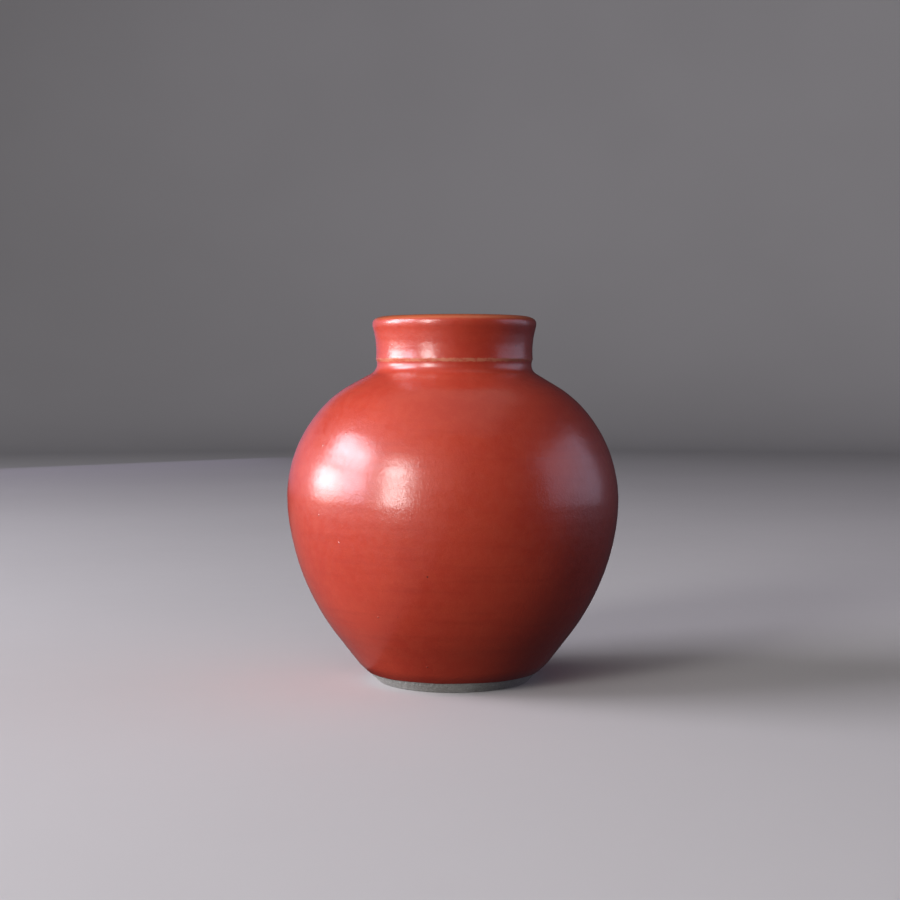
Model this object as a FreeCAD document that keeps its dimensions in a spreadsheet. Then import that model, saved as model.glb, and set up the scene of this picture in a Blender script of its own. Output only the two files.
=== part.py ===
import FreeCAD, Part
import Sketcher
import math
import os

# Wheel-thrown stoneware jar: a full round body on a small trimmed foot, with a
# short, slightly flared neck. Every piece is a solid of revolution about +Z.
#
# Pieces
#   stoneware_body   thrown wall and floor, trimmed foot, scored seat for the neck
#   luting_slip      thin ring of liquid clay that sticks the neck to the body
#   neck_collar      thrown neck ring with its rounded lip
#   outer_glaze      fired coat over body and neck, stopping above the foot
#   inner_glaze      fired liner coat, from the top of the lip down to the floor
#
# Millimetres. Origin: centre of the foot, on the surface the jar stands on. +Z up.

doc = FreeCAD.newDocument("ginger_jar")

# ---------------------------------------------------------------- dimensions
# Radii of the outside are those of the glazed surface. Angles are in degrees.
TABLE = [
    # widest point, and the two layers
    ("belly_radius", 91.0, "glazed radius at the widest point"),
    ("belly_height", 100.6, "height of the widest point"),
    ("glaze_coat", 0.5, "thickness of the fired glaze"),
    ("clay_wall", 5.0, "clay thickness from the belly up"),
    # shoulder: two arcs and a nearly straight slope up to the neck
    ("shoulder_low_radius", 73.98, "first arc above the belly"),
    ("shoulder_low_sweep", 41.94, ""),
    ("shoulder_top_radius", 63.83, "second arc above the belly"),
    ("shoulder_top_sweep", 18.38, ""),
    # hollow turned at the root of the neck
    ("root_radius", 6.0, "concave radius at the root of the neck"),
    ("root_sweep", 70.32, ""),
    # flank: two arcs, a slope and a last tuck-in to the foot
    ("flank_top_radius", 97.03, "first arc below the belly"),
    ("flank_top_sweep", 7.59, ""),
    ("flank_low_radius", 130.39, "second arc below the belly"),
    ("flank_low_sweep", 29.77, ""),
    ("flank_slope", 17.08, "straight slope above the foot"),
    ("tuck_radius", 56.27, "last arc, down to the edge of the glaze"),
    ("tuck_sweep", 9.23, ""),
    # trimmed foot
    ("foot_edge_radius", 1.4, "rounding of the foot's bottom edge"),
    ("recess_radius", 33.0, "inner edge of the foot's resting ring"),
    ("recess_depth", 3.0, "depth turned out under the floor"),
    # inside of the body
    ("floor_height", 11.0, "top of the clay floor"),
    ("inner_top_radius", 96.0, "inside, first arc below the belly"),
    ("inner_top_sweep", 8.0, ""),
    ("inner_low_radius", 122.0, "inside, second arc below the belly"),
    ("inner_low_sweep", 28.0, ""),
    ("heel_radius", 20.0, "inside corner of wall and floor"),
    ("throat_radius", 37.0, "clay radius of the opening"),
    ("throat_edge_radius", 10.0, "inside edge between shoulder and opening"),
    # luted joint of body and neck
    ("joint_radius", 42.17, "clay radius of the seat's outer edge"),
    ("joint_height", 175.6, "height of the seat"),
    ("slip_layer", 0.5, "thickness of the slip"),
    ("score_first", 38.3, "radius of the first scored ring"),
    ("score_step", 1.3, "distance between scored rings"),
    ("score_half", 0.4, "half width of a scored ring"),
    ("score_depth", 0.6, "depth of a scored ring"),
    # neck, heights above its own seat
    ("waist_radius", 42.95, "glazed radius at the neck's waist"),
    ("waist_height", 5.1, "waist above the neck's seat"),
    ("neck_curve_radius", 45.0, "concave radius of the neck"),
    ("flare_sweep", 16.0, "lean of the flare under the lip"),
    ("flare_turn_radius", 9.0, "turn from flare to lip"),
    ("lip_outer_radius", 3.0, "outer rounding of the lip"),
    ("lip_outer_sweep", 60.0, ""),
    ("lip_top_radius", 9.834, "flatter rounding of the lip's top"),
    # glaze running over the neck's lower edge
    ("ridge_low", 175.5, "lower end of the thin glaze over the ridge"),
    ("ridge_high", 176.6, "upper end of the thin glaze over the ridge"),
    # length by which a cutting profile runs past a face
    ("overrun", 1.0, "overrun of cutting profiles"),
]

sheet = doc.addObject("Spreadsheet::Sheet", "Dims")
sheet.Label = "Dims"
value_of = {}
for row, (alias, number, note) in enumerate(TABLE, start=1):
    sheet.set("A%d" % row, alias)
    sheet.set("B%d" % row, str(number))
    sheet.setAlias("B%d" % row, alias)
    if note:
        sheet.set("C%d" % row, note)
    value_of[alias] = number
doc.recompute()


class Size:
    """A number together with the sheet expression that gives it."""

    def __init__(self, value, text):
        self.value = value
        self.text = text

    def __add__(self, other):
        return Size(self.value + other.value, "(%s + %s)" % (self.text, other.text))

    def __sub__(self, other):
        return Size(self.value - other.value, "(%s - %s)" % (self.text, other.text))

    def __mul__(self, other):
        return Size(self.value * other.value, "(%s * %s)" % (self.text, other.text))

    def __truediv__(self, other):
        return Size(self.value / other.value, "(%s / %s)" % (self.text, other.text))


def dim(alias):
    return Size(value_of[alias], "Dims." + alias)


def number(n):
    return Size(float(n), repr(float(n)))


def sine(angle):
    return Size(math.sin(math.radians(angle.value)), "sin(%s * 1 deg)" % angle.text)


def cosine(angle):
    return Size(math.cos(math.radians(angle.value)), "cos(%s * 1 deg)" % angle.text)


def tangent(angle):
    return Size(math.tan(math.radians(angle.value)), "tan(%s * 1 deg)" % angle.text)


NONE = number(0)
GLAZE = dim("glaze_coat")
WALL = dim("clay_wall")
# outward lean of the short upstand between the hollow and the seat
LEAN = dim("root_sweep") - dim("shoulder_low_sweep") - dim("shoulder_top_sweep")


# ------------------------------------------------------------ sketch drawing
class Pen:
    """Draws a section, radius across and height up, as one tangent path."""

    def __init__(self, sketch, radius, height, heading):
        self.sketch = sketch
        self.at = (radius, height)
        self.heading = heading
        self.last = None            # (geometry, vertex) at the path's end
        self.first = None

    def bind(self, constraint, size):
        index = self.sketch.addConstraint(constraint)
        if size is not None:
            self.sketch.setExpression("Constraints[%d]" % index, size.text)
        return index

    def join(self, geometry, vertex, smooth):
        if self.last is not None:
            kind = "Tangent" if smooth else "Coincident"
            self.sketch.addConstraint(
                Sketcher.Constraint(kind, self.last[0], self.last[1], geometry, vertex))
        else:
            self.first = (geometry, vertex)

    def arc(self, radius, sweep, side, fixed_radius=True, fixed_sweep=True, smooth=True):
        """side +1 turns left, -1 turns right; radius and sweep are Sizes."""
        h = math.radians(self.heading)
        cx = self.at[0] - math.sin(h) * radius.value * side
        cy = self.at[1] + math.cos(h) * radius.value * side
        a0 = h - side * math.pi / 2
        a1 = a0 + side * math.radians(sweep.value)
        circle = Part.Circle(FreeCAD.Vector(cx, cy, 0), FreeCAD.Vector(0, 0, 1), radius.value)
        if side > 0:
            geometry = self.sketch.addGeometry(Part.ArcOfCircle(circle, a0, a1), False)
            begin, end = 1, 2
        else:
            geometry = self.sketch.addGeometry(Part.ArcOfCircle(circle, a1, a0), False)
            begin, end = 2, 1
        self.join(geometry, begin, smooth)
        if fixed_radius:
            self.bind(Sketcher.Constraint("Radius", geometry, radius.value), radius)
        if fixed_sweep:
            self.bind(Sketcher.Constraint("Angle", geometry, math.radians(sweep.value)), sweep)
        self.at = (cx + radius.value * math.cos(a1), cy + radius.value * math.sin(a1))
        self.heading += side * sweep.value
        self.last = (geometry, end)
        return geometry, begin, end

    def line_to(self, radius, height, smooth=False):
        geometry = self.sketch.addGeometry(
            Part.LineSegment(FreeCAD.Vector(self.at[0], self.at[1], 0),
                             FreeCAD.Vector(radius, height, 0)), False)
        self.join(geometry, 1, smooth)
        self.heading = math.degrees(math.atan2(height - self.at[1], radius - self.at[0]))
        self.at = (radius, height)
        self.last = (geometry, 2)
        return geometry

    def line(self, length, smooth=True):
        h = math.radians(self.heading)
        return self.line_to(self.at[0] + length * math.cos(h),
                            self.at[1] + length * math.sin(h), smooth)

    def across(self, vertex, size):
        self.bind(Sketcher.Constraint("DistanceX", -1, 1, vertex[0], vertex[1], size.value), size)

    def up(self, vertex, size):
        self.bind(Sketcher.Constraint("DistanceY", -1, 1, vertex[0], vertex[1], size.value), size)


def run_and_rise(at, heading, turn_radius, turn_sweep, side, target, next_heading):
    """Lengths of the two lines either side of an arc, so that they end at target."""
    h = math.radians(heading)
    n = math.radians(next_heading)
    shift_x = turn_radius * side * (-math.sin(h) + math.sin(n))
    shift_y = turn_radius * side * (math.cos(h) - math.cos(n))
    dx = target[0] - at[0] - shift_x
    dy = target[1] - at[1] - shift_y
    det = math.cos(h) * math.sin(n) - math.sin(h) * math.cos(n)
    first = (dx * math.sin(n) - dy * math.cos(n)) / det
    second = (math.cos(h) * dy - math.sin(h) * dx) / det
    return first, second


def belly_start(sketch, radius, heading):
    return Pen(sketch, radius.value, dim("belly_height").value, heading)


def shoulder(sketch, inset, end_radius, end_height):
    """Outside of the shoulder, from the belly to the top of the neck's root."""
    pen = belly_start(sketch, dim("belly_radius") - inset, 90)
    g, a, _ = pen.arc(dim("shoulder_low_radius") - inset, dim("shoulder_low_sweep"), +1)
    pen.across((g, a), dim("belly_radius") - inset)
    pen.up((g, a), dim("belly_height"))
    sketch.addConstraint(Sketcher.Constraint("Horizontal", g, 3, g, a))
    pen.arc(dim("shoulder_top_radius") - inset, dim("shoulder_top_sweep"), +1)
    root = dim("root_radius") + inset
    slope, upstand = run_and_rise(
        pen.at, pen.heading, root.value, dim("root_sweep").value, -1,
        (end_radius.value, end_height.value), pen.heading - dim("root_sweep").value)
    pen.line(slope)
    pen.arc(root, dim("root_sweep"), -1)
    pen.line(upstand)
    pen.across(pen.last, end_radius)
    pen.up(pen.last, end_height)
    return pen


def flank(sketch, inset, belly):
    """Outside of the flank, from the belly down to the edge of the glaze."""
    pen = belly_start(sketch, dim("belly_radius") - inset, -90)
    pen.last = belly
    pen.arc(dim("flank_top_radius") - inset, dim("flank_top_sweep"), -1)
    pen.arc(dim("flank_low_radius") - inset, dim("flank_low_sweep"), -1)
    g = pen.line(dim("flank_slope").value)
    pen.bind(Sketcher.Constraint("Distance", g, dim("flank_slope").value), dim("flank_slope"))
    pen.arc(dim("tuck_radius") - inset, dim("tuck_sweep"), -1)
    return pen


def vault(sketch, coat, top):
    """Inside of the shoulder, from the belly up through the throat to height top."""
    start = dim("belly_radius") - GLAZE - WALL - coat
    pen = belly_start(sketch, start, 90)
    g, a, _ = pen.arc(dim("shoulder_low_radius") - GLAZE - WALL - coat,
                      dim("shoulder_low_sweep"), +1)
    pen.across((g, a), start)
    pen.up((g, a), dim("belly_height"))
    sketch.addConstraint(Sketcher.Constraint("Horizontal", g, 3, g, a))
    pen.arc(dim("shoulder_top_radius") - GLAZE - WALL - coat, dim("shoulder_top_sweep"), +1)
    throat = dim("throat_radius") - coat
    edge = dim("throat_edge_radius") + coat
    sweep = dim("shoulder_low_sweep") + dim("shoulder_top_sweep")
    slope, rise = run_and_rise(pen.at, pen.heading, edge.value, sweep.value, -1,
                               (throat.value, top.value), 90)
    pen.line(slope)
    pen.arc(edge, sweep, -1, fixed_sweep=False)
    g = pen.line(rise)
    sketch.addConstraint(Sketcher.Constraint("Vertical", g))
    pen.across(pen.last, throat)
    return pen


def bowl(sketch, coat, belly):
    """Inside of the flank, from the belly down to the floor's centre."""
    pen = belly_start(sketch, dim("belly_radius") - GLAZE - WALL - coat, -90)
    pen.last = belly
    pen.arc(dim("inner_top_radius") - coat, dim("inner_top_sweep"), -1)
    pen.arc(dim("inner_low_radius") - coat, dim("inner_low_sweep"), -1)
    heel = dim("heel_radius") - coat
    floor = dim("floor_height") + coat
    turn = 180 - (-pen.heading)
    slope, flat = run_and_rise(pen.at, pen.heading, heel.value, turn, -1,
                               (0.0, floor.value), -180)
    pen.line(slope)
    pen.arc(heel, number(turn), -1, fixed_sweep=False)
    g = pen.line(flat)
    sketch.addConstraint(Sketcher.Constraint("Horizontal", g))
    pen.up(pen.last, floor)
    sketch.addConstraint(Sketcher.Constraint("PointOnObject", pen.last[0], pen.last[1], -2))
    return pen


def neck_outside(sketch, inset, seat, foot_height):
    """Outside of the neck, from foot_height up over the lip to its highest point."""
    curve = dim("neck_curve_radius") + inset
    centre_r = dim("waist_radius") + dim("neck_curve_radius")
    centre_h = seat + dim("waist_height")
    drop = centre_h.value - foot_height.value
    below = math.degrees(math.asin(drop / curve.value))
    start = (centre_r.value - curve.value * math.cos(math.radians(below)), foot_height.value)
    pen = Pen(sketch, start[0], start[1], 90 + below)
    sweep = number(below) + dim("flare_sweep")
    g, a, b = pen.arc(curve, sweep, -1, fixed_sweep=False)
    pen.across((g, 3), centre_r)
    pen.up((g, 3), centre_h)
    pen.up((g, a), foot_height)
    pen.up((g, b), centre_h + curve * sine(dim("flare_sweep")))
    t, _, te = pen.arc(dim("flare_turn_radius") - inset, dim("flare_sweep"), +1, fixed_sweep=False)
    sketch.addConstraint(Sketcher.Constraint("Horizontal", t, 3, t, te))
    pen.arc(dim("lip_outer_radius") - inset, dim("lip_outer_sweep"), +1)
    rest = number(90) - dim("lip_outer_sweep")
    p, _, pe = pen.arc(dim("lip_top_radius") - inset, rest, +1, fixed_sweep=False)
    sketch.addConstraint(Sketcher.Constraint("Vertical", p, 3, p, pe))
    return pen


def lip_inside(pen, coat, foot_height):
    """Inside of the lip and neck, from the lip's highest point down to foot_height."""
    sketch = pen.sketch
    throat = dim("throat_radius") - coat
    pen.arc(Size(pen.at[0] - throat.value, ""), number(90), +1,
            fixed_radius=False, fixed_sweep=False)
    g = pen.line(pen.at[1] - foot_height.value)
    sketch.addConstraint(Sketcher.Constraint("Vertical", g))
    pen.across(pen.last, throat)
    return pen


# --------------------------------------------------------------- body helpers
def plane_of(body, role):
    for feature in body.Origin.OriginFeatures:
        if feature.Role == role:
            return feature
    raise RuntimeError("no " + role)


def new_body(label):
    body = doc.addObject("PartDesign::Body", label)
    body.Label = label
    body.Placement = FreeCAD.Placement(FreeCAD.Vector(0, 0, 0), FreeCAD.Rotation())
    return body


def new_sketch(body, name):
    sketch = body.newObject("Sketcher::SketchObject", name)
    sketch.AttachmentSupport = (plane_of(body, "XZ_Plane"), [""])
    sketch.MapMode = "FlatFace"
    return sketch


def spin(body, kind, name, sketch):
    """Revolution or Groove of the sketch, a full turn about the vertical axis."""
    feature = body.newObject("PartDesign::" + kind, name)
    feature.Profile = sketch
    feature.ReferenceAxis = (sketch, ["V_Axis"])
    feature.Angle = 360
    sketch.Visibility = False
    doc.recompute()
    return feature


def close_on_axis(pen, top_height, bottom_pen=None, bottom_height=None):
    """From the path's end across to the axis and down it to the other path's end."""
    sketch = pen.sketch
    g = pen.line_to(0, top_height)
    sketch.addConstraint(Sketcher.Constraint("Horizontal", g))
    sketch.addConstraint(Sketcher.Constraint("PointOnObject", g, 2, -2))
    pen.line_to(0, bottom_height)
    sketch.addConstraint(Sketcher.Constraint(
        "Coincident", pen.last[0], pen.last[1], bottom_pen.last[0], bottom_pen.last[1]))


def polygon(sketch, corners):
    """Closed outline with every corner held by its own two sizes."""
    first = None
    for i, (r, z) in enumerate(corners):
        r2, z2 = corners[(i + 1) % len(corners)]
        g = sketch.addGeometry(Part.LineSegment(FreeCAD.Vector(r.value, z.value, 0),
                                                FreeCAD.Vector(r2.value, z2.value, 0)), False)
        if i == 0:
            first = g
        else:
            sketch.addConstraint(Sketcher.Constraint("Coincident", g - 1, 2, g, 1))
    last = first + len(corners) - 1
    sketch.addConstraint(Sketcher.Constraint("Coincident", last, 2, first, 1))
    for i, (r, z) in enumerate(corners):
        g = first + i
        for kind, size, axis in (("DistanceX", r, -2), ("DistanceY", z, -1)):
            if size.text == NONE.text:
                sketch.addConstraint(Sketcher.Constraint("PointOnObject", g, 1, axis))
            elif size.value < 0:
                positive = Size(-size.value, "(0 - %s)" % size.text)
                index = sketch.addConstraint(Sketcher.Constraint(kind, g, 1, -1, 1, positive.value))
                sketch.setExpression("Constraints[%d]" % index, positive.text)
            else:
                index = sketch.addConstraint(Sketcher.Constraint(kind, -1, 1, g, 1, size.value))
                sketch.setExpression("Constraints[%d]" % index, size.text)


def score_rings():
    rings = []
    for i in range(3):
        rings.append(dim("score_first") + number(i) * dim("score_step"))
    return rings


# ------------------------------------------------------------- stoneware_body
body = new_body("stoneware_body")

# outside form: belly, shoulder, hollow at the neck's root, upstand, flat seat,
# and downwards the flank, the bare trimmed bevel and the foot's rounded edge
outside = new_sketch(body, "body_outside")
upper = shoulder(outside, GLAZE, dim("joint_radius"), dim("joint_height"))
lower = flank(outside, GLAZE, upper.first)
bevel_turn = 180 + lower.heading
edge = dim("foot_edge_radius")
bevel, ground = run_and_rise(lower.at, lower.heading, edge.value, bevel_turn, -1, (0.0, 0.0), -180)
lower.line(bevel)
lower.arc(edge, number(bevel_turn), -1, fixed_sweep=False)
g = lower.line(ground)
outside.addConstraint(Sketcher.Constraint("Horizontal", g))
outside.addConstraint(Sketcher.Constraint("Coincident", g, 2, -1, 1))
close_on_axis(upper, dim("joint_height").value, lower, 0.0)
form = spin(body, "Revolution", "body_form", outside)
solid_volume = form.Shape.Volume

# hollow inside, floor to throat
inside = new_sketch(body, "body_inside")
above = dim("joint_height") + dim("overrun")
upper = vault(inside, NONE, above)
upper.up(upper.last, above)
lower = bowl(inside, NONE, upper.first)
close_on_axis(upper, above.value, lower, dim("floor_height").value)
hollow = spin(body, "Groove", "body_hollow", inside)
hollow_volume = hollow.Shape.Volume

# shallow recess turned out under the floor, leaving the foot's resting ring
recess = new_sketch(body, "foot_recess")
polygon(recess, [
    (NONE, NONE - dim("overrun")),
    (dim("recess_radius") + dim("overrun"), NONE - dim("overrun")),
    (dim("recess_radius") - dim("recess_depth"), dim("recess_depth")),
    (NONE, dim("recess_depth")),
])
turned = spin(body, "Groove", "foot_turning", recess)
turned_volume = turned.Shape.Volume

# rings scratched into the seat so that the slip keys in
scratch = new_sketch(body, "seat_scoring")
for ring in score_rings():
    polygon(scratch, [
        (ring - dim("score_half"), dim("joint_height")),
        (ring, dim("joint_height") - dim("score_depth")),
        (ring + dim("score_half"), dim("joint_height")),
    ])
scored = spin(body, "Groove", "seat_score_rings", scratch)
body_volume = scored.Shape.Volume

# ---------------------------------------------------------------- luting_slip
# Drawn with its underside at height zero and placed on the body's seat.
slip = new_body("luting_slip")
section = new_sketch(slip, "slip_section")
teeth_down = []
teeth_up = []
for ring in score_rings():
    teeth_down += [(ring - dim("score_half"), NONE),
                   (ring, NONE - dim("score_depth")),
                   (ring + dim("score_half"), NONE)]
    teeth_up += [(ring - dim("score_half"), dim("slip_layer")),
                 (ring, dim("slip_layer") + dim("score_depth")),
                 (ring + dim("score_half"), dim("slip_layer"))]
polygon(section, [(dim("throat_radius"), NONE)] + teeth_down + [(dim("joint_radius"), NONE)]
        + [(dim("joint_radius"), dim("slip_layer"))] + teeth_up[::-1]
        + [(dim("throat_radius"), dim("slip_layer"))])
spin(slip, "Revolution", "slip_ring", section)
slip.setExpression("Placement.Base.z", "Dims.joint_height")

# ---------------------------------------------------------------- neck_collar
# Drawn standing on height zero and placed on top of the slip.
collar = new_body("neck_collar")
section = new_sketch(collar, "collar_section")
pen = neck_outside(section, GLAZE, NONE, NONE)
neck_foot = pen.first
lip_inside(pen, NONE, NONE)
section.addConstraint(Sketcher.Constraint("PointOnObject", pen.last[0], pen.last[1], -1))
vertex = section.getPoint(neck_foot[0], neck_foot[1])
pen.line_to(vertex.x, 0.0)
section.addConstraint(Sketcher.Constraint(
    "Coincident", pen.last[0], pen.last[1], neck_foot[0], neck_foot[1]))
ring_form = spin(collar, "Revolution", "collar_form", section)
ring_volume = ring_form.Shape.Volume
scratch = new_sketch(collar, "collar_scoring")
for ring in score_rings():
    polygon(scratch, [
        (ring - dim("score_half"), NONE),
        (ring, dim("score_depth")),
        (ring + dim("score_half"), NONE),
    ])
ring_scored = spin(collar, "Groove", "collar_score_rings", scratch)
collar_volume = ring_scored.Shape.Volume
collar.setExpression("Placement.Base.z", "Dims.joint_height + Dims.slip_layer")

# ---------------------------------------------------------------- outer_glaze
# Section between the glazed surface and the clay. The coat follows body, slip
# and neck, and thins where it runs over the neck's lower edge.
coat = new_body("outer_glaze")
section = new_sketch(coat, "outer_coat")
seat = dim("joint_height") + dim("slip_layer")
ridge_r = (dim("joint_radius") + (dim("ridge_low") - dim("joint_height")) * tangent(LEAN)
           + GLAZE / cosine(LEAN))
face = shoulder(section, NONE, ridge_r, dim("ridge_low"))
face_down = flank(section, NONE, face.first)
neck_face = neck_outside(section, NONE, seat, dim("ridge_high"))
vertex = section.getPoint(neck_face.first[0], neck_face.first[1])
face.line_to(vertex.x, vertex.y)
section.addConstraint(Sketcher.Constraint(
    "Coincident", face.last[0], face.last[1], neck_face.first[0], neck_face.first[1]))

clay = shoulder(section, GLAZE, dim("joint_radius"), dim("joint_height"))
clay_down = flank(section, GLAZE, clay.first)
neck_clay = neck_outside(section, GLAZE, seat, seat)
g = clay.line_to(dim("joint_radius").value, seat.value)
section.addConstraint(Sketcher.Constraint("Vertical", g))
vertex = section.getPoint(neck_clay.first[0], neck_clay.first[1])
g = clay.line_to(vertex.x, vertex.y)
section.addConstraint(Sketcher.Constraint("Horizontal", g))
section.addConstraint(Sketcher.Constraint(
    "Coincident", clay.last[0], clay.last[1], neck_clay.first[0], neck_clay.first[1]))

for one, other in ((face_down, clay_down), (neck_face, neck_clay)):
    g = one.line_to(other.at[0], other.at[1])
    section.addConstraint(Sketcher.Constraint(
        "Coincident", one.last[0], one.last[1], other.last[0], other.last[1]))
spin(coat, "Revolution", "outer_coat_form", section)

# ---------------------------------------------------------------- inner_glaze
# Liner coat: from the lip's highest point down the throat, round the inside of
# the shoulder and belly, and across the floor.
liner = new_body("inner_glaze")
section = new_sketch(liner, "inner_coat")


def liner_side(coat_here):
    """One side of the liner, clay side or air side, from lip to floor."""
    inset = GLAZE - coat_here
    lip_r = (dim("waist_radius") + dim("neck_curve_radius")
             - (dim("neck_curve_radius") + dim("flare_turn_radius")) * cosine(dim("flare_sweep"))
             + dim("flare_turn_radius") - dim("lip_outer_radius")
             + (dim("lip_outer_radius") - dim("lip_top_radius")) * cosine(dim("lip_outer_sweep")))
    lip_h = (seat + dim("waist_height")
             + (dim("neck_curve_radius") + dim("flare_turn_radius")) * sine(dim("flare_sweep"))
             + (dim("lip_outer_radius") - dim("lip_top_radius")) * sine(dim("lip_outer_sweep"))
             + dim("lip_top_radius") - inset)
    throat = dim("throat_radius") - coat_here
    round_r = lip_r - throat
    top = lip_h - round_r
    up_pen = vault(section, coat_here, top)
    up_pen.arc(Size(round_r.value, ""), number(90), -1, fixed_radius=False, fixed_sweep=False)
    section.addConstraint(Sketcher.Constraint(
        "Vertical", up_pen.last[0], 3, up_pen.last[0], up_pen.last[1]))
    up_pen.across(up_pen.last, lip_r)
    up_pen.up(up_pen.last, lip_h)
    down_pen = bowl(section, coat_here, up_pen.first)
    return up_pen, down_pen


clay_up, clay_down = liner_side(NONE)
face_up, face_down = liner_side(GLAZE)
for one, other in ((clay_up, face_up), (clay_down, face_down)):
    one.line_to(other.at[0], other.at[1])
    section.addConstraint(Sketcher.Constraint(
        "Coincident", one.last[0], one.last[1], other.last[0], other.last[1]))
spin(liner, "Revolution", "inner_coat_form", section)

doc.recompute()

# --------------------------------------------------------------------- checks
pieces = [body, slip, collar, coat, liner]
problems = []
for item in doc.Objects:
    if "Invalid" in item.State or "Error" in item.State:
        problems.append("%s is %s" % (item.Name, item.State))
    if item.TypeId == "Sketcher::SketchObject":
        if item.solve() != 0:
            problems.append("%s does not solve" % item.Name)
        if not item.FullyConstrained:
            problems.append("%s is not fully constrained" % item.Name)
        print("sketch %-16s lines and arcs %3d" % (item.Name, item.GeometryCount))
for piece in pieces:
    shape = piece.Shape
    if shape.isNull() or not shape.isValid() or len(shape.Solids) != 1:
        problems.append("%s has no single valid solid" % piece.Label)
if not solid_volume > hollow_volume > turned_volume > body_volume:
    problems.append("a cut in the body removed nothing")
if not ring_volume > collar_volume:
    problems.append("a cut in the collar removed nothing")
for i, one in enumerate(pieces):
    for other in pieces[i + 1:]:
        shared = one.Shape.common(other.Shape).Volume
        print("%s and %s share %.4f mm3" % (one.Label, other.Label, shared))
        if shared > 0.5:
            problems.append("%s and %s overlap" % (one.Label, other.Label))
if problems:
    raise RuntimeError("; ".join(problems))

os.makedirs("parts", exist_ok=True)
for piece in pieces:
    piece.Shape.exportStep(os.path.join("parts", piece.Label + ".step"))
    box = piece.Shape.optimalBoundingBox(False, False)
    print("%-15s volume %9.1f mm3  radius %.3f  height %.3f to %.3f"
          % (piece.Label, piece.Shape.Volume, box.XMax, box.ZMin, box.ZMax))
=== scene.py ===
import math

import bpy
import numpy as np
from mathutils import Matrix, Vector


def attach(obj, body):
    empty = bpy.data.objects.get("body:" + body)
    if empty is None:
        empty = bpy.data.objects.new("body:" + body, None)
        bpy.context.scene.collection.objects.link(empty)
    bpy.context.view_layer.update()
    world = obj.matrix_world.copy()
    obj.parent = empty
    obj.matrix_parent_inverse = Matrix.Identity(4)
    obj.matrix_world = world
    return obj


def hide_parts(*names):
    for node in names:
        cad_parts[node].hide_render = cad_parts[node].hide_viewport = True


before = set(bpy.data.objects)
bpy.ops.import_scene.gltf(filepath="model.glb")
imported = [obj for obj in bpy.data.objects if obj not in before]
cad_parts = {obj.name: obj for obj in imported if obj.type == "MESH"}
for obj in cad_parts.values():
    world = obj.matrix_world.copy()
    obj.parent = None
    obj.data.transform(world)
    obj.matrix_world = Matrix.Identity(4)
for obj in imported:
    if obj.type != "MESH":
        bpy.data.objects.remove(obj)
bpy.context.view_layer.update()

MM = 0.001
TAU = 2 * math.pi

# Thrown stoneware jar. Sections are given in millimetres as (radius, height) and
# turned about Z; every piece then goes through the same gentle warp, so that the
# clay and its glaze stay together.


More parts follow.
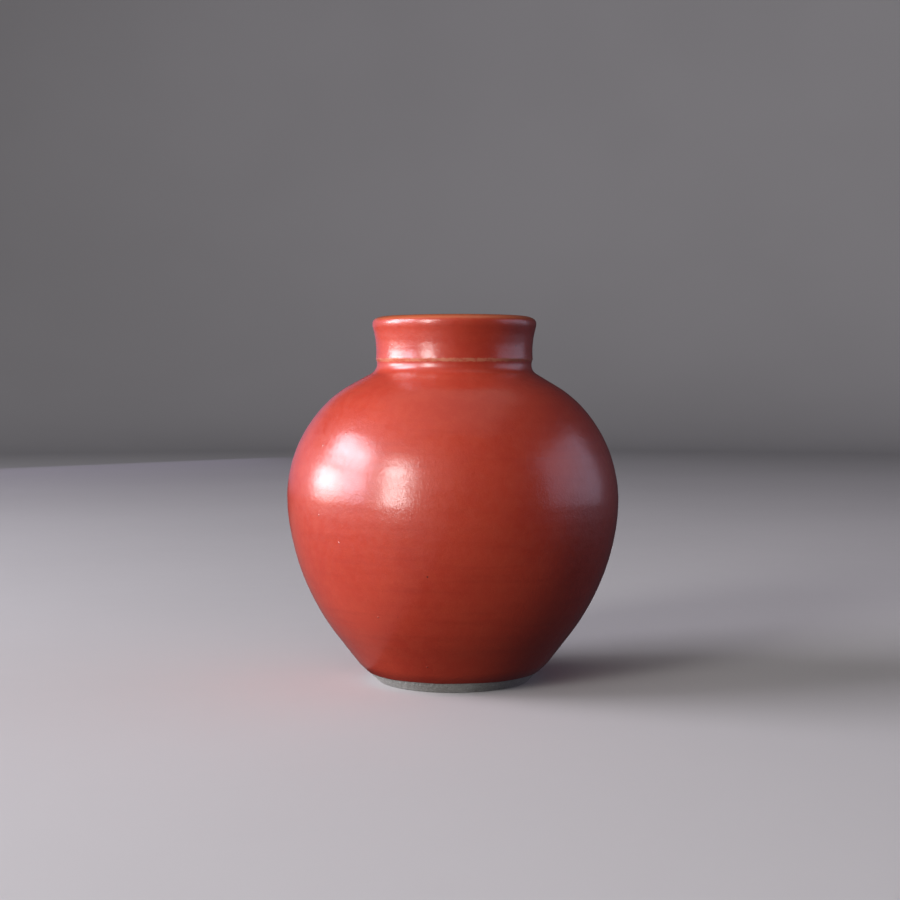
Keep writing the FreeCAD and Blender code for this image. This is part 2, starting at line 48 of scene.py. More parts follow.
# ------------------------------------------------------------------ materials
class Nodes:
    """Short names for building a node tree."""

    def __init__(self, name):
        self.material = bpy.data.materials.new(name)
        self.material.use_nodes = True
        self.tree = self.material.node_tree
        self.tree.nodes.clear()
        self.out = self.tree.nodes.new("ShaderNodeOutputMaterial")
        self.shader = self.tree.nodes.new("ShaderNodeBsdfPrincipled")
        self.tree.links.new(self.shader.outputs[0], self.out.inputs["Surface"])
        coordinates = self.tree.nodes.new("ShaderNodeTexCoord")
        self.place = coordinates.outputs["Object"]
        split = self.tree.nodes.new("ShaderNodeSeparateXYZ")
        self.link(self.place, split.inputs[0])
        self.x, self.y, self.z = split.outputs

    def link(self, a, b):
        self.tree.links.new(a, b)

    def put(self, socket, value):
        if isinstance(value, bpy.types.NodeSocket):
            self.link(value, socket)
        elif value is not None:
            socket.default_value = value

    def noise(self, scale, detail=2.0, rough=0.5, stretch=None, where=None, distortion=0.0):
        n = self.tree.nodes.new("ShaderNodeTexNoise")
        n.inputs["Scale"].default_value = scale
        n.inputs["Detail"].default_value = detail
        n.inputs["Roughness"].default_value = rough
        n.inputs["Distortion"].default_value = distortion
        source = where or self.place
        if stretch:
            m = self.tree.nodes.new("ShaderNodeMapping")
            m.inputs["Scale"].default_value = stretch
            self.link(source, m.inputs["Vector"])
            source = m.outputs[0]
        self.link(source, n.inputs["Vector"])
        return n.outputs[0]

    def cells(self, scale, feature="F1", where=None):
        n = self.tree.nodes.new("ShaderNodeTexVoronoi")
        n.feature = feature
        n.inputs["Scale"].default_value = scale
        self.link(where or self.place, n.inputs["Vector"])
        return n.outputs["Distance"], n.outputs["Color"]

    def math(self, operation, a, b=None, c=None, clamp=False):
        n = self.tree.nodes.new("ShaderNodeMath")
        n.operation = operation
        n.use_clamp = clamp
        self.put(n.inputs[0], a)
        self.put(n.inputs[1], b)
        self.put(n.inputs[2], c)
        return n.outputs[0]

    def ramp(self, value, low, high, to_low=0.0, to_high=1.0, smooth=True):
        n = self.tree.nodes.new("ShaderNodeMapRange")
        n.interpolation_type = "SMOOTHSTEP" if smooth else "LINEAR"
        self.put(n.inputs["Value"], value)
        n.inputs["From Min"].default_value = low
        n.inputs["From Max"].default_value = high
        n.inputs["To Min"].default_value = to_low
        n.inputs["To Max"].default_value = to_high
        return n.outputs[0]

    def mix(self, factor, a, b, blend="MIX"):
        n = self.tree.nodes.new("ShaderNodeMix")
        n.data_type = "RGBA"
        n.blend_type = blend
        self.put(n.inputs[0], factor)
        self.put(n.inputs[6], a)
        self.put(n.inputs[7], b)
        return n.outputs[2]

    def near(self, point, inner, outer):
        """1 at a point of the surface, falling to 0 between the two radii."""
        n = self.tree.nodes.new("ShaderNodeVectorMath")
        n.operation = "DISTANCE"
        self.link(self.place, n.inputs[0])
        n.inputs[1].default_value = point
        return self.ramp(n.outputs["Value"], outer, inner)

    def bump(self, height, distance, strength=1.0, under=None):
        n = self.tree.nodes.new("ShaderNodeBump")
        n.inputs["Strength"].default_value = strength
        n.inputs["Distance"].default_value = distance
        self.link(height, n.inputs["Height"])
        if under is not None:
            self.link(under, n.inputs["Normal"])
        return n.outputs[0]


def rgb(r, g, b):
    return (r, g, b, 1.0)


# Places of the small flaws in the glaze, in metres.
IRON_SPECKS = [((-0.0131, -0.0847, 0.0673), 0.00062), ((0.0334, -0.0276, 0.1838), 0.00048),
               ((-0.0284, -0.0712, 0.0450), 0.00030), ((0.062, 0.0600, 0.112), 0.00048)]
PIMPLES = [(-0.0554, -0.0590, 0.1383), (-0.0680, -0.0500, 0.1319), (-0.0695, -0.0588, 0.0961),
           (-0.0586, -0.0675, 0.0826), (-0.0388, -0.0656, 0.0442), (0.0667, -0.0469, 0.1360),
           (-0.0138, -0.0556, 0.0164), (-0.0328, -0.0271, 0.1843)]


def glaze_material(name, inside=False):
    k = Nodes(name)
    s = k.shader

    # tone: broad drift, then mottling a few millimetres across, then a fine grain
    drift = k.ramp(k.noise(17.0, 2.0), 0.33, 0.67)
    colour = k.mix(drift, rgb(0.530, 0.046, 0.021), rgb(0.600, 0.061, 0.028))
    mottle = k.ramp(k.noise(150.0, 3.0, 0.6), 0.38, 0.68)
    colour = k.mix(k.math("MULTIPLY", mottle, 0.20), colour, rgb(0.650, 0.094, 0.042))
    streak = k.ramp(k.noise(60.0, 2.0, 0.5, stretch=(0.35, 0.35, 5.0)), 0.50, 0.75)
    colour = k.mix(k.math("MULTIPLY", streak, 0.18), colour, rgb(0.400, 0.030, 0.017))
    grain = k.ramp(k.noise(1500.0, 2.0, 0.6), 0.52, 0.74)
    colour = k.mix(k.math("MULTIPLY", grain, 0.14), colour, rgb(0.710, 0.150, 0.078))

    ragged = k.math("SUBTRACT", k.noise(420.0, 3.0, 0.65), 0.5)
    patch = k.noise(90.0, 2.0, 0.5)
    # thin glaze over the lip: lighter and more orange
    lip_z = k.math("ADD", k.z, k.math("MULTIPLY", ragged, 0.0011))
    lip = k.ramp(lip_z, 0.1974, 0.1991)
    colour = k.mix(k.math("MULTIPLY", lip, 0.85), colour, rgb(0.640, 0.155, 0.053))
    if not inside:
        # thin glaze over the neck's lower edge: breaks to the clay's buff
        off = k.math("ABSOLUTE", k.math("SUBTRACT", k.z, k.math(
            "ADD", 0.17635, k.math("MULTIPLY", ragged, 0.0017))))
        ridge = k.ramp(off, 0.00122, 0.00045)
        blotch = k.math("ADD", k.math("MULTIPLY", patch, 0.5), k.math("MULTIPLY", k.noise(520.0, 2.0, 0.6), 0.5))
        ridge = k.math("MULTIPLY", ridge, k.ramp(blotch, 0.40, 0.56, 0.45, 1.0))
        colour = k.mix(ridge, colour, rgb(0.690, 0.245, 0.137))
        # thick rolled edge above the foot: deeper and darker
        edge_z = k.math("ADD", k.z, k.math("MULTIPLY", ragged, 0.0010))
        thick = k.ramp(edge_z, 0.0092, 0.0058)
        colour = k.mix(k.math("MULTIPLY", thick, 0.45), colour, rgb(0.250, 0.019, 0.015))

    # iron specks: a few at random, and those that are seen
    d, tint = k.cells(34.0)
    pick = k.tree.nodes.new("ShaderNodeSeparateColor")
    k.link(tint, pick.inputs[0])
    chosen = k.ramp(pick.outputs[0], 0.86, 0.90)
    dots = k.math("MULTIPLY", k.ramp(d, 0.0115, 0.0065), chosen)
    for point, size in IRON_SPECKS:
        dots = k.math("MAXIMUM", dots, k.near(point, size * 0.5, size))
    colour = k.mix(k.math("MULTIPLY", dots, 0.85), colour, rgb(0.070, 0.018, 0.012))
    # painted highlights: pale dots on the pimples stand in for the glints of the windows on them
    painted_glint = k.near(PIMPLES[0], 0.00015, 0.00045)
    for point in PIMPLES[1:]:
        painted_glint = k.math("MAXIMUM", painted_glint, k.near(point, 0.00015, 0.00045))
    colour = k.mix(k.math("MULTIPLY", painted_glint, 0.6), colour, rgb(0.600, 0.330, 0.250))
    k.link(colour, s.inputs["Base Color"])

    # surface: slow orange peel, fine grain, a few pimples and pinholes
    slow = k.noise(260.0, 1.0, 0.5)
    peel = k.noise(620.0, 4.0, 0.72)
    d2, tint2 = k.cells(95.0)
    pick2 = k.tree.nodes.new("ShaderNodeSeparateColor")
    k.link(tint2, pick2.inputs[0])
    pin = k.math("MULTIPLY", k.ramp(d2, 0.035, 0.012), k.ramp(pick2.outputs[1], 0.90, 0.94))
    pimple = k.near(PIMPLES[0], 0.0, 0.0008)
    for point in PIMPLES[1:]:
        pimple = k.math("MAXIMUM", pimple, k.near(point, 0.0, 0.0008))
    height = k.math("ADD", k.math("MULTIPLY", peel, 1.0), k.math("MULTIPLY", slow, 0.5))
    height = k.math("SUBTRACT", height, k.math("MULTIPLY", pin, 1.0))
    height = k.math("ADD", height, k.math("MULTIPLY", pimple, 2.0))
    k.link(k.bump(height, 0.000105), s.inputs["Normal"])
    rough = k.ramp(k.noise(260.0, 3.0, 0.6), 0.3, 0.7, 0.36, 0.48)
    k.link(rough, s.inputs["Roughness"])
    s.inputs["IOR"].default_value = 1.55
    s.inputs["Coat Weight"].default_value = 0.86
    s.inputs["Coat Roughness"].default_value = 0.13
    s.inputs["Coat IOR"].default_value = 1.6
    k.link(s.inputs["Normal"].links[0].from_socket, s.inputs["Coat Normal"])
    return k.material


def clay_material(name, base, dark, light):
    k = Nodes(name)
    s = k.shader
    tone = k.ramp(k.noise(45.0, 3.0, 0.55), 0.32, 0.68)
    colour = k.mix(tone, rgb(*dark), rgb(*base))
    turned = k.ramp(k.noise(90.0, 2.0, 0.5, stretch=(0.4, 0.4, 9.0)), 0.45, 0.75)
    colour = k.mix(k.math("MULTIPLY", turned, 0.25), colour, rgb(*dark))
    sand = k.ramp(k.noise(1300.0, 2.0, 0.7), 0.50, 0.66)
    colour = k.mix(k.math("MULTIPLY", sand, 0.35), colour, rgb(*light))
    d, tint = k.cells(640.0)
    pick = k.tree.nodes.new("ShaderNodeSeparateColor")
    k.link(tint, pick.inputs[0])
    grog = k.math("MULTIPLY", k.ramp(d, 0.34, 0.22), k.ramp(pick.outputs[0], 0.74, 0.80))
    colour = k.mix(k.math("MULTIPLY", grog, 0.8), colour, rgb(*light))
    # pits: the same mask dents the clay in the bump below and darkens the colour, painted shade in the pits
    pit_and_painted_shade = k.math("MULTIPLY", k.ramp(d, 0.30, 0.16), k.ramp(pick.outputs[1], 0.80, 0.86))
    colour = k.mix(k.math("MULTIPLY", pit_and_painted_shade, 0.55), colour, rgb(0.15, 0.13, 0.105))
    cream = k.ramp(k.noise(650.0, 3.0, 0.7), 0.50, 0.62)
    colour = k.mix(k.math("MULTIPLY", cream, 0.45), colour, rgb(*light))
    k.link(colour, s.inputs["Base Color"])
    k.link(k.ramp(k.noise(300.0, 2.0), 0.3, 0.7, 0.78, 0.95), s.inputs["Roughness"])
    grit = k.noise(900.0, 3.0, 0.65)
    height = k.math("ADD", grit, k.math("MULTIPLY", grog, 0.6))
    height = k.math("SUBTRACT", height, k.math("MULTIPLY", pit_and_painted_shade, 1.3))
    k.link(k.bump(height, 0.00016), s.inputs["Normal"])
    s.inputs["Specular IOR Level"].default_value = 0.35
    return k.material


coral = glaze_material("coral_glaze_mat")
liner = glaze_material("liner_glaze_mat", inside=True)
bare = clay_material("bare_stoneware_mat", (0.58, 0.56, 0.52), (0.47, 0.45, 0.41), (0.74, 0.73, 0.70))
slurry = clay_material("slip_mat", (0.54, 0.49, 0.42), (0.46, 0.41, 0.35), (0.66, 0.61, 0.54))


# ------------------------------------------------------------------- sections
ROOT = 6.0         # radius of the hollow under the neck


def walk(start, heading, moves):
    """Cuts a path of arcs and lines into samples: radius, height and the unit
    vector to the right of the path, which is the side where the air is."""
    r, z, h = start[0], start[1], math.radians(heading)
    pts = [(r, z, math.sin(h), -math.cos(h))]
    for kind, *v in moves:
        if kind == "line":
            length, step = v
            n = max(1, round(length / step))
            if abs(pts[-1][2] - math.sin(h)) + abs(pts[-1][3] + math.cos(h)) > 1e-6:
                pts.append((r, z, math.sin(h), -math.cos(h)))
            for i in range(1, n + 1):
                d = length * i / n
                pts.append((r + d * math.cos(h), z + d * math.sin(h), math.sin(h), -math.cos(h)))
            r, z = pts[-1][:2]
        else:
            radius, sweep, side, step = v
            n = max(1, round(radius * math.radians(sweep) / step))
            cx, cz = r - math.sin(h) * radius * side, z + math.cos(h) * radius * side
            a = h - side * math.pi / 2
            for i in range(1, n + 1):
                t = a + side * math.radians(sweep) * i / n
                g = t + side * math.pi / 2
                pts.append((cx + radius * math.cos(t), cz + radius * math.sin(t),
                            math.sin(g), -math.cos(g)))
            h += side * math.radians(sweep)
            r, z = pts[-1][:2]
    return np.array(pts), math.degrees(h)


def backwards(pts):
    """The same path walked the other way, with the air kept on the same side."""
    return pts[::-1].copy()


def flip(pts):
    out = pts.copy()
    out[:, 2:] *= -1
    return out


def outside(inset, step=1.9, fine=0.6):
    """Glaze line up to the top of the hollow under the neck, inset millimetres
    under the glazed surface; 0 gives the glazed surface and 0.5 the clay."""
    start = (91.0 - inset, 100.6)
    down, _ = walk(start, -90, [
        ("arc", 97.03 - inset, 7.59, -1, step), ("arc", 130.39 - inset, 29.77, -1, step),
        ("line", 17.08, step), ("arc", 56.27 - inset, 9.23, -1, step * 0.6)])
    down = flip(down)                       # walked down, the air is on the left
    up, h = walk(start, 90, [
        ("arc", 73.98 - inset, 41.94, 1, step), ("arc", 63.83 - inset, 18.38, 1, step),
        ("line", 10.0, step), ("line", 2.246, fine), ("arc", ROOT + inset, 70.32, -1, fine * 0.7),
        ("line", 0.363, 0.3)])
    return down, up, h


def neck_and_lip(inset, low, fine=0.7):
    """Neck from height low, up over the lip to its highest point."""
    curve = 45.0 + inset
    below = math.degrees(math.asin((181.2 - low) / curve))
    start = (87.95 - curve * math.cos(math.radians(below)), low)
    up, h = walk(start, 90 + below, [
        ("arc", curve, below + 16.0, -1, fine * 1.6), ("arc", 9.0 - inset, 16.0, 1, fine * 0.8),
        ("arc", 3.0 - inset, 60.0, 1, fine * 0.35), ("arc", 9.834 - inset, 30.0, 1, fine * 0.5)])
    return up


def inside(coat, step=1.9, fine=0.7):
    """Lip's highest point down the throat and round to the floor's centre, coat
    millimetres in front of the clay; air on the right."""
    lip_r, lip_z = 38.625, 199.5 + coat
    throat = 37.0 - coat
    round_r = lip_r - throat
    edge = 10.0 + coat
    # walked upwards from the belly, then turned round
    start = (85.5 - coat, 100.6)
    up, h = walk(start, 90, [("arc", 68.48 - coat, 41.94, 1, step),
                             ("arc", 58.33 - coat, 18.38, 1, step)])
    lean = math.radians(h)
    run = (throat - up[-1][0] + edge * (1 - math.sin(lean))) / math.cos(lean)
    more, h = walk(up[-1][:2], h, [("line", run, step), ("arc", edge, h - 90, -1, fine)])
    rise = lip_z - round_r - more[-1][1]
    rest, _ = walk(more[-1][:2], 90, [("line", rise, fine * 1.8), ("arc", round_r, 90, -1, 0.22)])
    shoulder = flip(np.concatenate([up, more[1:], rest[1:]]))[::-1]
    down, h = walk(start, -90, [("arc", 96.0 - coat, 8.0, -1, step),
                                ("arc", 122.0 - coat, 28.0, -1, step)])
    heel, floor = 20.0 - coat, 11.0 + coat
    slope = math.radians(54.0)
    run = (down[-1][1] - floor - heel * (1 - math.cos(slope))) / math.sin(slope)
    more, h = walk(down[-1][:2], h, [("line", run, step), ("arc", heel, 54.0, -1, fine * 1.5)])
    flat, _ = walk((more[-1][0], floor), 180, [("line", more[-1][0], step)])
    flat[-1][0] = 0.0
    return np.concatenate([shoulder, down[1:], more[1:], flat[1:]])


# ---------------------------------------------------------- handmade variation
def waves(seed, count, around, along, power=1.0):
    """Smooth random field over (angle, height): whole waves around, free along."""
    rng = np.random.RandomState(seed)
    m = rng.randint(around[0], around[1] + 1, count)
    k = TAU / rng.uniform(along[0], along[1], count) * rng.choice([-1, 1], count)
    p = rng.uniform(0, TAU, count)
    a = rng.uniform(0.4, 1.0, count)
    a /= np.sqrt(np.sum(a ** 2) / 2)

    def field(theta, z):
        total = 0.0
        for i in range(count):
            total = total + a[i] * np.cos(m[i] * theta + k[i] * z + p[i])
        return total * power
    return field


broad = waves(11, 9, (1, 4), (60, 160), 0.055)
middle = waves(12, 16, (3, 12), (18, 50), 0.016)
edge_wave = waves(13, 8, (2, 11), (1e6, 2e6), 0.16)
lip_wave = waves(14, 4, (1, 3), (1e6, 2e6), 0.10)
ridge_wave = waves(17, 30, (12, 60), (1e6, 2e6), 0.035)
inner_broad = waves(15, 12, (1, 7), (20, 90), 0.12)
grit_low = waves(16, 60, (40, 190), (1.2, 5.0), 0.030)


def smooth(x, a, b):
    t = np.clip((x - a) / (b - a), 0, 1)
    return t * t * (3 - 2 * t)


def warp(x, y, z, theta):
    """Shared by every piece: the body leans a hair to one side, the neck sits a
    little off its axis, and the lip isn't quite level."""
    shift = -0.50 * smooth(z, 70, 130) + 1.05 * smooth(z, 160, 176)
    x = x + shift
    y = y + 0.15 * smooth(z, 90, 150)
    z = z + lip_wave(theta, 0.0) * smooth(z, 180, 199) + 0.4 * smooth(z, 184, 199)
    return x, y, z


def throwing(theta, z, pitch, amount):
    """Spiral left by the fingers: rounded ridges with slightly sharper hollows."""
    phase = TAU * z / pitch + theta + 0.5 * np.sin(z / 13.0)
    return amount * (np.cos(phase) + 0.25 * np.cos(2 * phase + 0.7))


def shell(name, rows, columns, relief, loop):
    """Turns a section about Z into one closed mesh. Rows at radius zero become a
    single point. relief gives each point's displacement along its row's normal and
    along its path, in millimetres."""
    n = len(rows)
    theta = np.linspace(0, TAU, columns, endpoint=False)[None, :]
    r, z, nr, nz = (rows[:, i][:, None] for i in range(4))
    lift, slide = relief(r + 0 * theta, z + 0 * theta, theta + 0 * r)
    rad = r + nr * lift - nz * slide
    up = z + nz * lift + nr * slide
    rad = np.where(r < 1e-9, 0.0, rad)
    x, y, up = warp(rad * np.cos(theta), rad * np.sin(theta), up, theta)
    co = np.stack([x, y, up], axis=2) * MM
    pole = [bool(rows[j, 0] < 1e-9) for j in range(n)]
    index = np.zeros((n, columns), dtype=np.int64)
    parts, count = [], 0
    for j in range(n):
        parts.append(co[j].mean(0)[None, :] if pole[j] else co[j])
        index[j] = count if pole[j] else count + np.arange(columns)
        count += len(parts[-1])
    faces = []
    for j in range(n if loop else n - 1):
        k = (j + 1) % n
        a, b = index[j], index[k]
        a2, b2 = np.roll(a, -1), np.roll(b, -1)
        if pole[j] and pole[k]:
            continue
        if pole[j]:
            faces += np.stack([a, b2, b], axis=1).tolist()
        elif pole[k]:
            faces += np.stack([a, a2, b], axis=1).tolist()
        else:
            faces += np.stack([a, a2, b2, b], axis=1).tolist()
    mesh = bpy.data.meshes.new(name)
    mesh.from_pydata(np.concatenate(parts).tolist(), [], faces)
    mesh.update()
    mesh.polygons.foreach_set("use_smooth", [True] * len(mesh.polygons))
    mesh.set_sharp_from_angle(angle=math.radians(38))
    obj = bpy.data.objects.new(name, mesh)
    bpy.context.scene.collection.objects.link(obj)
    print(name, "rows", n, "triangles", sum(len(p.vertices) - 2 for p in mesh.polygons))
    return obj


def join_paths(*parts):
    out = [parts[0]]
    for p in parts[1:]:
        gap = np.hypot(*(p[0][:2] - out[-1][-1][:2]))
        out.append(p[1:] if gap < 1e-6 else p)
    return np.concatenate(out)


# ---------------------------------------------------------------- outer glaze
def face_of_glaze():
    down, up, h = outside(0.0)
    down = backwards(down)
    # closer rows near the rolled edge
    d = np.concatenate([[0], np.cumsum(np.hypot(np.diff(down[:, 0]), np.diff(down[:, 1])))])
    want = [0, 0.05, 0.13, 0.25, 0.40, 0.58, 0.8, 1.05, 1.35, 1.75, 2.3, 3.0, 3.9, 5.0, 6.4, 8.0]
    keep = d > 9.2
    s = np.concatenate([want, d[keep]])
    down = np.stack([np.interp(s, d, down[:, i]) for i in range(4)], axis=1)
    down[:, 2:] /= np.linalg.norm(down[:, 2:], axis=1)[:, None]
    edge_d = s.copy()
    # the hollow's top runs into the thin glaze over the neck's lower edge
    neck = neck_and_lip(0.0, 177.0, 0.5)
    a, b = up[-1], neck[0]
    step = np.array([((1 - t) * a[0] + t * b[0], (1 - t) * a[1] + t * b[1], 0.88, -0.47)
                     for t in (0.25, 0.5, 0.75)])
    step[:, 2:] /= np.linalg.norm(step[:, 2:], axis=1)[:, None]
    path = join_paths(down, up, step, neck)
    dist = np.concatenate([edge_d, np.full(len(path) - len(edge_d), 1e3)])
    return path, dist


def clay_under_glaze(step=6.0, fine=2.0):
    down, up, h = outside(0.5, step, fine)
    down = backwards(down)
    up = up.copy()
    top = neck_and_lip(0.5, 176.1, 1.6)
    corner = np.array([(42.17, 175.6, 1.0, 0.0), (42.17, 176.1, 1.0, 0.0)])
    return down, up, corner, top


path, edge_distance = face_of_glaze()
down, up, corner, top = clay_under_glaze()
under = join_paths(down, up, corner, top)
rows = np.concatenate([path, under[::-1]])
face_rows = len(path)
from_edge = np.concatenate([edge_distance, np.full(len(under), 1e3)])
under_d = np.concatenate([[0], np.cumsum(np.hypot(np.diff(under[:, 0]), np.diff(under[:, 1])))])
from_edge[face_rows:] = under_d[::-1]
is_face = np.zeros(len(rows))
is_face[:face_rows] = 1.0


def glaze_relief(r, z, theta):
    d = from_edge[:, None]
    face = is_face[:, None]
    body = smooth(z, 8, 40) * (1 - smooth(z, 158, 168))
    neck = smooth(z, 178, 182) * (1 - smooth(z, 193, 197))
    lift = broad(theta, z) * (0.5 + 0.5 * body) + middle(theta, z) * body
    lift = lift + throwing(theta, z, 8.4, 0.022) * body
    lift = lift + throwing(theta, z, 5.2, 0.016) * neck
    # the glaze thins over the ridge at the neck's lower edge, and the ridge wanders
    ridge = np.exp(-((z - 176.75) / 0.45) ** 2)
    lift = lift + ridge * (0.03 + ridge_wave(theta, 0.0))
    # lower edge: the coat thins, swells a little and rounds down on to the clay
    near = d < 50
    thin = 0.34 * (1 - smooth(d, 0.4, 7.5))
    bead = 0.07 * np.exp(-((d - 1.0) / 0.7) ** 2)
    t = np.clip(d / 0.40, 0, 1)
    fall = 0.15 * (1 - np.sqrt(np.clip(1 - (1 - t) ** 2, 0, 1)))
    lift = lift * smooth(d, 0, 6) + (bead - fall - thin) * near
    slide = edge_wave(theta, 0.0) * np.exp(-d / 5.0) * near
    return lift * face, slide


outer = shell("outer_glaze_coat", rows, 368, glaze_relief, loop=True)
outer.data.materials.append(coral)

# ---------------------------------------------------------------- inner glaze
air = inside(0.5)
clay_side = inside(0.0, step=6.0, fine=2.2)
rows_in = np.concatenate([air, clay_side[::-1]])
is_air = np.zeros(len(rows_in))
is_air[:len(air)] = 1.0


def liner_relief(r, z, theta):
    wall = smooth(z, 14, 34) * (1 - smooth(z, 160, 176))
    neck = smooth(z, 176, 180) * (1 - smooth(z, 190, 197))
    floor = (1 - smooth(z, 12.2, 20)) * smooth(r, 2, 9)
    lift = throwing(theta, z, 10.5, 0.22) * wall + throwing(theta, z, 6.5, 0.035) * neck
    lift = lift + throwing(theta, r, 8.5, 0.22) * floor
    lift = lift + inner_broad(theta, z + r) * np.clip(wall + floor, 0, 1)
    lift = lift + broad(theta, z) * 0.5 * smooth(z, 193, 199.4)
    return lift * is_air[:, None], 0 * z


inner = shell("inner_glaze_coat", rows_in, 384, liner_relief, loop=True)
inner.data.materials.append(liner)


# ----------------------------------------------------------------------- clay
def scored(rows_of, z, side):
    """Radii and heights of the seat's scored face, from the outer edge inwards."""
    pts = []
    for ring in (40.9, 39.6, 38.3):
        pts += [(ring + 0.4, z), (ring, z + side * 0.6), (ring - 0.4, z)]
    return pts


def plain(points, normal):
    return np.array([(r, z, normal[0], normal[1]) for r, z in points])


under_base, h = walk((0.0, 3.0), 0, [
    ("line", 29.379, 1.1), ("arc", 1.5, 45, -1, 0.3), ("line", 3.290, 0.6), ("arc", 0.8, 45, 1, 0.2),
    ("line", 40.942 - 33.332, 0.6), ("arc", 1.4, 43.41, 1, 0.18), ("line", 8.087, 0.42)])
under_base[0][0] = 0.0
down, up, _ = outside(0.5, step=5.0, fine=1.6)
clay_face = join_paths(under_base, backwards(down), up)
hollow = inside(0.0, step=5.0, fine=1.6)
body_rows = np.concatenate([
    clay_face, plain([(42.17, 175.6)], (1, 0)), plain([(42.1, 175.6)], (0, 1)),
    plain(scored(3, 175.6, -1), (0, 1)), plain([(37.0, 175.6)], (0, 1)),
    hollow[hollow[:, 1] < 175.0]])


def clay_relief(r, z, theta):
    # bare clay only: turning marks under the foot, drag lines and sand on the bevel
    low = 1 - smooth(z, 6.4, 8.0)
    under = 1 - smooth(z, 2.75, 2.95)
    ceiling = smooth(z, 2.75, 2.95) * (1 - smooth(r, 28.4, 29.4)) * (1 - smooth(z, 3.05, 3.2))
    bevel = smooth(z, 0.05, 0.9) * (1 - smooth(z, 6.2, 7.2)) * smooth(r, 40.5, 41.5)
    spiral = 0.11 * np.cos(TAU * r / 2.9 - theta) + 0.05 * np.cos(TAU * r / 1.35 - 2 * theta)
    nub = -0.9 * np.exp(-(r / 2.6) ** 2)
    lift = (spiral * smooth(r, 1.5, 4) + nub * 0.35) * ceiling
    lift = lift + bevel * (grit_low(theta, z) * 0.9 + 0.035 * np.cos(TAU * z / 1.7 + theta))
    return lift, 0 * z


body = shell("stoneware_wall", body_rows, 512, clay_relief, loop=False)
body.data.materials.append(bare)


def still(r, z, theta):
    return 0 * z, 0 * z


neck_face = neck_and_lip(0.5, 176.1, 1.4)
bore = inside(0.0, step=5.0, fine=1.6)
bore = bore[bore[:, 1] > 176.6]
collar = shell("neck_ring", np.concatenate([
    neck_face, bore[1:], plain([(37.0, 176.1)], (0, -1)),
    plain(scored(3, 176.1, 1)[::-1], (0, -1))]), 256, still, loop=True)
collar.data.materials.append(bare)

slip = shell("slip_ring", np.concatenate([
    plain([(42.17, 175.6), (42.17, 176.1)], (1, 0)),
    plain(scored(3, 176.1, 1), (0, 1)), plain([(37.0, 176.1), (37.0, 175.6)], (-1, 0)),
    plain(scored(3, 175.6, -1)[::-1], (0, -1))]), 192, still, loop=True)
slip.data.materials.append(slurry)

for piece, node, surface in ((outer, "outer_glaze", "coral_glaze"), (inner, "inner_glaze", "liner_glaze"),
                             (body, "stoneware_body", "bare_stoneware"),
                             (collar, "neck_collar", "bare_stoneware"), (slip, "luting_slip", "slip")):
    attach(piece, "root")
    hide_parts(node)

# ---------------------------------------------------------------------- stage
k = Nodes("floor_mat")
tone = k.ramp(k.noise(1.3, 3.0), 0.3, 0.7)
k.link(k.mix(tone, rgb(0.60, 0.595, 0.585), rgb(0.635, 0.63, 0.62)), k.shader.inputs["Base Color"])
k.link(k.ramp(k.noise(40.0, 2.0), 0.3, 0.7, 0.75, 0.85), k.shader.inputs["Roughness"])
k.shader.inputs["Specular IOR Level"].default_value = 0.2
sweep = [(0.0, 0.0), (0.5, 0.0), (1.2, 0.0), (2.6, 0.0)]
sweep += [(2.6 + 1.2 * math.sin(math.radians(t)), 1.2 - 1.2 * math.cos(math.radians(t))) for t in range(6, 91, 6)]
sweep += [(3.8, 2.0), (3.8, 3.2)]
turn = [TAU * i / 96 for i in range(96)]
points = [(0.0, 0.0, 0.0)] + [(r * math.cos(t), r * math.sin(t), z) for r, z in sweep[1:] for t in turn]
faces = [(0, 1 + i, 1 + (i + 1) % 96) for i in range(96)]
for j in range(len(sweep) - 2):
    faces += [(1 + 96 * j + i, 97 + 96 * j + i, 97 + 96 * j + (i + 1) % 96, 1 + 96 * j + (i + 1) % 96) for i in range(96)]
mesh = bpy.data.meshes.new("floor")
mesh.from_pydata(points, [], faces)
mesh.polygons.foreach_set("use_smooth", [True] * len(mesh.polygons))
mesh.materials.append(k.material)
floor = bpy.data.objects.new("floor", mesh)
bpy.context.scene.collection.objects.link(floor)
# the jar is lit by the windows alone: the floor throws nothing back on to it
floor.visible_glossy = False
floor.visible_diffuse = False

world = bpy.data.worlds.new("room")
bpy.context.scene.world = world
world.use_nodes = True
world.node_tree.nodes["Background"].inputs["Color"].default_value = (0.60, 0.62, 0.80, 1)
world.node_tree.nodes["Background"].inputs["Strength"].default_value = 0.034


def pane(name, azimuth, left, right, bottom, top, radiance, colour, distance=2.0):
    """Soft upright rectangular light facing the jar's axis. azimuth is measured
    from -Y towards +X; left and right run along the pane from its middle."""
    light = bpy.data.lights.new(name, "AREA")
    light.shape = "RECTANGLE"
    light.size, light.size_y = right - left, top - bottom
    light.energy = radiance * math.pi * light.size * light.size_y
    light.color = colour
    obj = bpy.data.objects.new(name, light)
    bpy.context.scene.collection.objects.link(obj)
    a = math.radians(azimuth)
    out = Vector((math.sin(a), -math.cos(a), 0))
    along = Vector((math.cos(a), math.sin(a), 0))
    obj.location = out * distance + along * (left + right) / 2 + Vector((0, 0, (bottom + top) / 2))
    obj.rotation_mode = "QUATERNION"
    obj.rotation_quaternion = (-out).to_track_quat("-Z", "Y")
    obj.visible_camera = False
    return obj


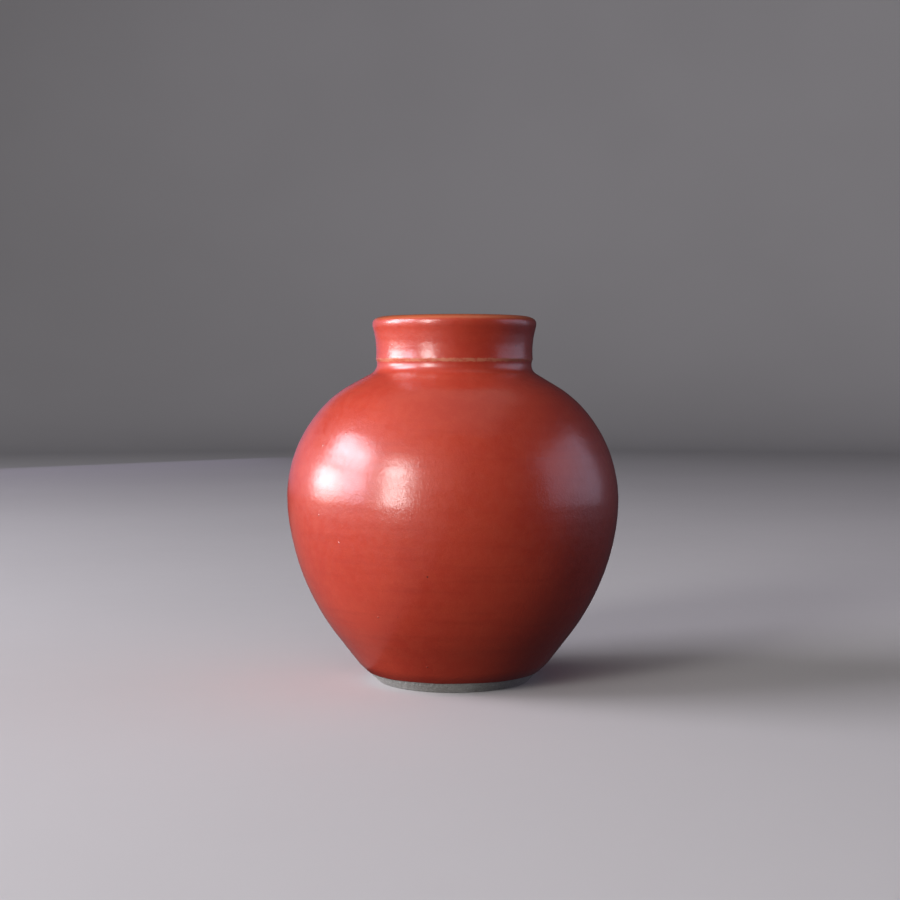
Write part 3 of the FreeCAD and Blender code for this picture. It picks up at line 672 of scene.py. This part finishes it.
pane("left_upper", -90, -0.50, 0.95, 0.95, 1.64, 11.5, (0.91, 0.87, 1.0))
pane("left_near", -90, -0.62, 0.30, 0.17, 0.74, 12.0, (0.95, 0.93, 1.0))
pane("left_far", -90, 0.36, 1.08, 0.19, 0.86, 7.4, (0.90, 0.84, 1.0))
pane("left_sill", -90, -0.56, 0.62, 0.02, 0.13, 2.4, (1.0, 0.62, 0.38))
pane("front_upper", -45.5, -0.06, 0.52, 0.74, 1.26, 15.0, (0.98, 0.96, 0.97))
pane("front_lower", -45.5, -0.02, 0.48, 0.06, 0.64, 13.0, (0.98, 0.96, 0.95))
pane("right_wall", 95, -1.10, 0.95, 0.02, 1.38, 0.75, (0.84, 0.74, 1.0))
glow = pane("right_glow", 95, -0.35, 0.95, 0.02, 0.80, 1.30, (0.84, 0.76, 1.0))
glow.visible_diffuse = False
pane("left_behind", -140, -1.2, 1.2, 0.02, 0.8, 0.26, (0.74, 0.62, 1.0))
ceiling = bpy.data.lights.new("ceiling", "AREA")
ceiling.size = 2.8
ceiling.energy = 0.26 * math.pi * 2.8 * 2.8
ceiling.color = (1.0, 0.95, 0.88)
top = bpy.data.objects.new("ceiling", ceiling)
bpy.context.scene.collection.objects.link(top)
top.location = (-0.2, 0.0, 2.6)
top.visible_camera = False
fill = pane("front_fill", -16, -1.1, 1.1, 0.9, 2.5, 1.1, (1.0, 0.93, 0.86), distance=2.6)
fill.visible_glossy = False
# dim cards lying to the left, seen only as sheen low on that side of the glaze
for near in (0.05, 0.16, 0.32, 0.55):
    card = bpy.data.lights.new("card", "AREA")
    card.shape = "RECTANGLE"
    card.size, card.size_y = 1.7 - near, 1.5 + near
    card.energy = 0.115 * math.pi * card.size * card.size_y
    card.color = (1.0, 0.84, 0.90)
    low_left = bpy.data.objects.new("card", card)
    bpy.context.scene.collection.objects.link(low_left)
    low_left.location = (-(1.7 + near) / 2, -0.25, 0.004)
    low_left.rotation_euler = (math.pi, 0, 0)
    low_left.visible_camera = False
    low_left.visible_diffuse = False

# --------------------------------------------------------------------- camera
camera = bpy.data.cameras.new("camera")
camera.sensor_width = 36.0
camera.lens = 64.0
camera.clip_start, camera.clip_end = 0.01, 50.0
eye = bpy.data.objects.new("camera", camera)
bpy.context.scene.collection.objects.link(eye)
eye.location = (-0.00182, -0.8825, 0.1699)
eye.rotation_euler = (math.radians(90) - math.atan(78 / 1600), 0, 0)
bpy.context.scene.camera = eye
bpy.context.scene.view_settings.view_transform = "Standard"
